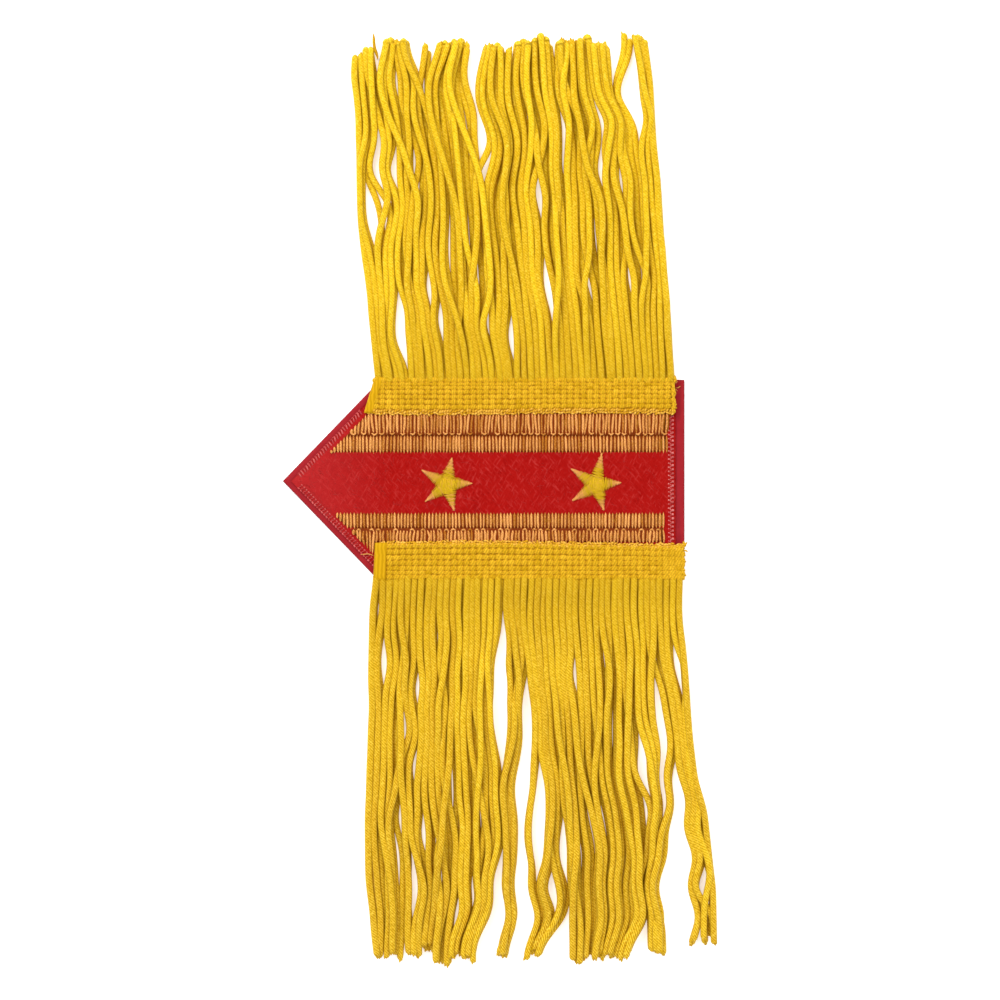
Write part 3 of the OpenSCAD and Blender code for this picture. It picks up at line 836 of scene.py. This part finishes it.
# Small crossings of two neighbours, drawn at random
SWAPS = 26
# The distance at which a leg's place is read for its length
RANKED_AT = 108.0
# Legs that end this near each other may be one closed loop, and this share of them is
LOOP_REACH, LOOP_SHARE = 1.6, 0.6
# The last rings of a cut cord, as distances from its end for each millimetre of its radius
TIP_RINGS = np.array([1.5, 1.0, 0.6, 0.3, 0.12, 0.02])

gold_cord, place, shader = new_finish("gold_cord", 0.6, 0.25, (1, 0.72, 0.12))
strands = plies(mark(place, "along") + mark(place, "tone") * 7 + noise(place, 200.0) * 0.6, 0.95, 6)
fuzz = noise(place, 1500.0, 4.0, 0.8)
flank = mark(place, "around_c")
# Painted shade: the cords are painted darker and warmer towards the end of the lower fringe, where less light
# falls
towards_lower_end = rise(on_axis(place, "Y"), 0.1, -0.15)
light_gold = between(towards_lower_end, (0.94, 0.61, 0.008), (0.88, 0.5, 0.004))
dark_gold = between(towards_lower_end, (0.74, 0.42, 0.001), (0.62, 0.28, 0.001))
from_braid = place.math("ABSOLUTE", on_axis(place, "Y"))
blotched = mark(place, "tone") * 0.9 + noise(place, 90.0, 3.0) * 0.9 - 0.42
paint(shader, between(blotched, dark_gold, light_gold),
      # Painted light: a cord's sides are painted lighter, to lift the shade between cords
      (flank * flank * 0.7, (1.0, 0.7, 0.015)),
      # Painted shade in the grooves of the twist, and a painted highlight on its ridges
      ((1 - strands) ** 1.4 * (towards_lower_end * 0.5 + 0.4), (0.5, 0.25, 0.001)),
      (strands ** 5.0 * (towards_lower_end * 0.3 + 0.3), (1.0, 0.76, 0.08)),
      # Fine fibres lie in their own shade or glint
      (rise(fuzz, 0.48, 0.35, 0.7), (0.48, 0.23, 0.001)),
      (rise(fuzz, 0.52, 0.65, 0.8), (1.0, 0.74, 0.09)),
      # Little light reaches the crease where a cord touches the next one
      ((flank * flank) ** 6.0 * 0.8, (0.36, 0.15, 0.001)),
      # Painted shadow of the braid dulls them where they leave it
      (rise(from_braid, 0.06, 0.033, 0.45), (0.5, 0.28, 0.006)))
emboss(shader, strands * 0.7 + fuzz * 0.8, 0.9, 0.0003)
strand_thread = thread_finish("strand_thread", (0.6, 0.33, 0.002), (0.9, 0.55, 0.02), 0.6, 0.2, 0.5, 2.4)


def cord_tree():
    """Geometry Nodes: sweeps a round cord along each line, as thick as the line's points say."""
    given = new_tree("cords", "Lines", "Cords", sides=10)
    path = given.through("GeometryNodeMeshToCurve").through("GeometryNodeSetCurveNormal", {"mode": "Z_UP"})
    # The cords press each other a little flat
    pressed = round_profile(given, 1.0).through("GeometryNodeTransform", None, {"Scale": (1.12, 0.86, 1)})
    cords = path.through("GeometryNodeCurveToMesh", None, {
        "Profile Curve": pressed, "Scale": noted(given, "thick"), "Fill Caps": True})
    cords = cords.through("GeometryNodeSetShadeSmooth").through("GeometryNodeRealizeInstances")
    return end_tree(given, cords)


CORD_TREE = cord_tree()


def smooth_step(t):
    t = np.clip(t, 0, 1)
    return t * t * (3 - 2 * t)


def gap_opening(start_v, end_v, v):
    """How far a gap is open at distance v, from 0 to 1."""
    ease = min((end_v - start_v) / 2, GAP_EASE)
    return np.sin(math.pi / 2 * np.clip(np.minimum(v - start_v, end_v - v) / ease, 0, 1)) ** 2


def fringe_edges(name, v):
    """Where the left and the right edge of a fringe run at distance v."""
    at, left, right = np.array(EDGES[name]).T
    return np.interp(v, at, left), np.interp(v, at, right)


def place_x(name, place, v):
    """Where the cord in a given place runs at distance v. The place is a fraction while it crosses others."""
    left, right = fringe_edges(name, v)
    line = place + 0.5
    x = left + (right - left) * line / CORDS[name]
    for after, start_v, end_v, push_left, push_right in GAPS[name]:
        passed = smooth_step(line - after + 0.5)
        off = np.abs(line - after)
        to_left = push_left * np.exp(-off / max(GAP_REACH, PUSH_REACH * abs(push_left)))
        to_right = push_right * np.exp(-off / max(GAP_REACH, PUSH_REACH * abs(push_right)))
        wider = GAP_WIDER * np.exp(-off / 1.5) * min(1.0, max(0.0, push_left + push_right))
        opening = gap_opening(start_v, end_v, v)
        x = x + opening * (passed * (to_right + wider) - (1 - passed) * (to_left + wider))
    return x


def cord_places(name, v, dice):
    """The place of each upper leg at each distance, and how high it lies over the under legs."""
    count = CORDS[name]
    crossings = list(CROSSINGS[name])
    for _ in range(SWAPS):
        start_v = dice.uniform(8, 84)
        crossings.append((int(dice.integers(1, count - 2)), start_v, start_v + dice.uniform(16, 34),
                          int(dice.choice([-1, 1]))))
    places = np.repeat(np.arange(count, dtype=float)[:, None], len(v), axis=1)
    lifts = np.full((count, len(v)), UPPER_LIFT)
    for place, start_v, end_v, moved in sorted(crossings, key=lambda row: row[1]):
        at = int(np.searchsorted(v, start_v))
        crosser = int(np.argmin(np.abs(places[:, at] - place)))
        way = 1 if moved > 0 else -1
        gone = abs(moved) * smooth_step((v - start_v) / (end_v - start_v))
        for other in range(count):
            off = (places[other, at] - places[crosser, at]) * way
            if other != crosser and 0.5 < off < abs(moved) + 0.5:
                places[other] -= way * smooth_step((gone - off + 0.9) / 1.3)
        places[crosser] += way * gone
        over = smooth_step((v - start_v + 8) / 10) * (1 - smooth_step((v - end_v - 2) / 12))
        lifts[crosser] += CROSSING_LIFT * over
    return places, lifts


def soften(values, spread):
    """Evens out values along a cord, as a stiff cord can't follow sudden steps."""
    reach = int(3 * spread)
    kernel = np.exp(-0.5 * (np.arange(-reach, reach + 1) / spread) ** 2)
    return np.convolve(np.pad(values, reach, mode="edge"), kernel / kernel.sum(), mode="valid")


def under_place(name, cord, v):
    """Where a cord's second leg lies: half a place to the right, but not across an open gap."""
    shift = np.full(len(v), 0.5)
    for after, start_v, end_v, push_left, push_right in GAPS[name]:
        if after == cord + 1:
            wide = min(1.0, max(0.0, push_left + push_right) / 1.2)
            shift = np.minimum(shift, 0.5 - 0.55 * wide * gap_opening(start_v, end_v, v))
    return cord + (shift if cord < CORDS[name] - 1 else -0.1)


def settle_legs(aim_x, aim_z, floor, spacing, wall_left, wall_right):
    """Lays all legs, one cross-section after another. Each is drawn to its place and pushes others aside."""
    x, z = aim_x.copy(), aim_z.copy()
    now_x, now_z = aim_x[:, 0].copy(), aim_z[:, 0].copy()
    for k, apart in enumerate(spacing):
        for _ in range(14):
            now_x += 0.25 * (aim_x[:, k] - now_x)
            now_z += 0.1 * (aim_z[:, k] - now_z)
            off_x, off_z = now_x[:, None] - now_x, now_z[:, None] - now_z
            off = np.hypot(off_x, off_z)
            np.fill_diagonal(off, 9)
            push = 0.4 * np.clip(apart - off, 0, None) / np.maximum(off, 0.05)
            now_x = np.clip(now_x + 0.5 * (push * off_x).sum(1), wall_left[k], wall_right[k])
            now_z = np.maximum(now_z + 1.2 * (push * off_z).sum(1), floor[k])
        x[:, k], z[:, k] = now_x, now_z
    return x, z


def fringe_paths(name, dice):
    """The middle lines of all legs as rows of distance, x and z: first the under legs, then the upper."""
    count = CORDS[name]
    v = np.arange(-3.0, 128.0, 0.5)
    places, lifts = cord_places(name, v, dice)
    under = [under_place(name, cord, v) for cord in range(count)]
    # Neighbours wander together, and each cord a little on its own
    together = [(size, wave, dice.uniform(0, 6), lag)
                for size, wave, lag in ((0.4, 66, 0.25), (0.2, 37, 0.5), (0.1, 21, 0.9))]
    x = []
    for leg, place in enumerate([*under, *places]):
        wander = sum(size * np.sin(2 * math.pi * v / wave + phase + lag * place)
                     for size, wave, phase, lag in together)
        for size, wave in (((0.34, 48), (0.12, 23)) if leg < count else ((0.16, 34), (0.06, 14))):
            own_wave, phase = wave * dice.uniform(0.85, 1.15), dice.uniform(0, 6)
            wander = wander + size * np.sin(2 * math.pi * v / own_wave + phase)
        x.append(soften(place_x(name, place, v) + wander * smooth_step(v / 26), 7.0))
    down = smooth_step((v + 0.5) / DROP_L)
    floor = CORD_R + (FACE_Z - 0.15 - CORD_R) * (1 - down)
    lift = np.concatenate([np.zeros_like(lifts), lifts]) * smooth_step((v + 2.5) / 5)
    # No two cords lie quite level, and where they leave the heading they lie unevenly side by side
    lift += UNEVEN * dice.uniform(-1, 1, (2 * count, 1)) * smooth_step((v + 1) / 4)
    x = np.array(x) + dice.normal(0, 0.3, (2 * count, 1)) * np.exp(-np.clip(v, 0, None) / 14)
    # The braid squeezes them, and they fill out below it
    spacing = APART * CORD_R * (0.62 + 0.38 * smooth_step(v / 16))
    left, right = fringe_edges(name, v)
    x, z = settle_legs(x, floor + lift, floor, spacing, left + 0.75 * CORD_R, right - 0.75 * CORD_R)
    return v, [soften(row, 4.0) for row in x], [soften(row, 5.0) for row in z]


def round_tip(left, radius):
    """How thick a cord is, as a share, at a distance from its end."""
    return math.sqrt(1 - (1 - min(1.0, left / (1.3 * radius))) ** 2)


for side, name, path_seed, tip_seed in ((1, "upper", 71, 81), (-1, "lower", 72, 82)):
    count = CORDS[name]
    v, x, z = fringe_paths(name, np.random.default_rng(path_seed))
    dice = np.random.default_rng(tip_seed)
    left, right = EDGES[name][-1][1:]
    legs = []
    for leg in range(2 * count):
        place = (np.interp(RANKED_AT, v, x[leg]) - left) / (right - left) * count
        # Under legs are painted lighter than upper legs: painted light against the shade that the upper legs
        # cast on them
        legs.append({"x": x[leg], "z": z[leg],
                     "length": np.interp(place, *np.array(TIPS[name]).T) + dice.normal(0, 0.9),
                     "radius": CORD_R * dice.uniform(0.92, 1.04),
                     "tone": np.clip(dice.normal(0.85 if leg < count else 0.42, 0.38), 0, 1)})
    points, edges = [], []
    notes = {"along": [], "thick": [], "tone": []}

    def add_point(leg, at, thick, along, joined, shift=(0, 0, 0)):
        """Adds the next point of a cord's middle line, where the leg lies at a distance from the heading."""
        if joined:
            edges.append((len(points) - 1, len(points)))
        points.append((np.interp(at, v, leg["x"]) + shift[0], side * (HEADING_OUT + at + shift[1]),
                       np.interp(at, v, leg["z"]) + shift[2]))
        for key, value in (("thick", 0.001 * thick * leg["radius"]), ("along", along), ("tone", leg["tone"])):
            notes[key].append(value)

    def tip_x(leg):
        return np.interp(leg["length"], v, leg["x"])

    root = np.linspace(-1.2, -0.2, 3)
    single = []
    upper_legs = legs[count:]
    for under in legs[:count]:
        nearest = int(np.argmin([abs(tip_x(leg) - tip_x(under)) for leg in upper_legs]))
        over = upper_legs[nearest]
        # In the upper fringe many cords still hang as closed loops; the others are cut
        if side < 0 or abs(tip_x(over) - tip_x(under)) > LOOP_REACH or dice.uniform(0, 1) > LOOP_SHARE:
            single.append(under)
            continue
        upper_legs.pop(nearest)
        length = max(under["length"], over["length"]) - CORD_R
        rings = np.concatenate([root, np.linspace(0.8, length, 108)])
        for k, at in enumerate(rings):
            add_point(under, at, 1, at, k > 0)
        half, up = ((np.interp(length, v, over[axis]) - np.interp(length, v, under[axis])) / 2
                    for axis in "xz")
        for step in range(1, 8):
            turn = math.pi * step / 8
            share = 1 - math.cos(turn)
            shift = (half * share, 1.1 * math.sin(turn), up * share)
            add_point(under, length, 1, length + 0.4 * step, True, shift)
        for at in rings[::-1]:
            add_point(over, at, 1, 2 * length + 3 - at, True)
    frayed = []
    for leg in [*single, *upper_legs]:
        radius, length = leg["radius"], leg["length"]
        # The twist has opened at the cut end, and its strands splay
        towards = math.degrees(math.atan2(side * 3.0, tip_x(leg) - np.interp(length - 3, v, leg["x"])))
        for _ in range(3):
            off = dice.uniform(-0.6, 0.6)
            frayed.append((tip_x(leg) + off, side * (HEADING_OUT + length - 0.85 + dice.normal(0, 0.25)),
                           np.interp(length, v, leg["z"]) + dice.uniform(-0.3, 0.3),
                           towards - side * off * 18, 2.3, 0.75, 0.7, leg["tone"]))
        tip = length - TIP_RINGS * radius
        rings = np.concatenate([root, np.linspace(0.8, length - 2.0 * radius, 104), tip])
        for k, at in enumerate(rings):
            add_point(leg, at, round_tip(length - at, radius), at + 3 * leg["tone"], k > 0)
    cords = grow(f"cords_{name}", points, edges, notes, CORD_TREE, gold_cord, sides=8)
    settle(cords, f"fringe_{name}")
    lay_threads(f"frayed_ends_{name}", frayed, strand_thread, "fringe_cord", f"fringe_{name}",
                rings=7, sides=6, end=0.45, dip=0.1, size_spread=0.15, seed=90 + side)

# Loose threads
# A few ends have worked free: one stands up at the tips of the upper fringe, a hair hangs from the lower one,
# and short ends show where the headings were cut.
LOOSE = {
    "gold": [(-34.8, 139.4, 3.4, 100, 9, 1, 0.9, 0.3, 0.4), (28.7, -152.3, 0.4, 75, 3.9, 0.4, 0.4, 0.4, 0.2),
             (60.9, 22.6, 3.6, -40, 2, 0.5, 0.5, 0.7, 0.3), (61.2, 24.6, 3.7, 20, 1.7, 0.4, 0.4, 0.8, 0.2),
             (64.9, -21, 3.6, 30, 2.2, 0.6, 0.6, 0.6, -0.3),
             (65.2, -23.4, 3.5, -15, 1.6, 0.5, 0.5, 0.7, 0.2)],
    "pale": [(-37.3, -24.7, 2.7, -5, 5.2, 0.35, 0.35, 0.9, 0.4),
             (62.2, 30.6, 1.9, 62, 2.4, 0.4, 0.4, 0.9, 0.3),
             (62.9, 29.6, 1.8, 25, 1.8, 0.35, 0.35, 0.8, -0.2),
             (62, 28.6, 1.8, -20, 1.6, 0.35, 0.35, 0.8, 0.2)]}
for kind, finish, slot in (("gold", braid_thread, "fringe_cord"), ("pale", satin, "stripe_thread")):
    lay_threads(f"loose_threads_{kind}", LOOSE[kind], finish, slot, rings=13, sides=6, end=0.2, dip=0.3)
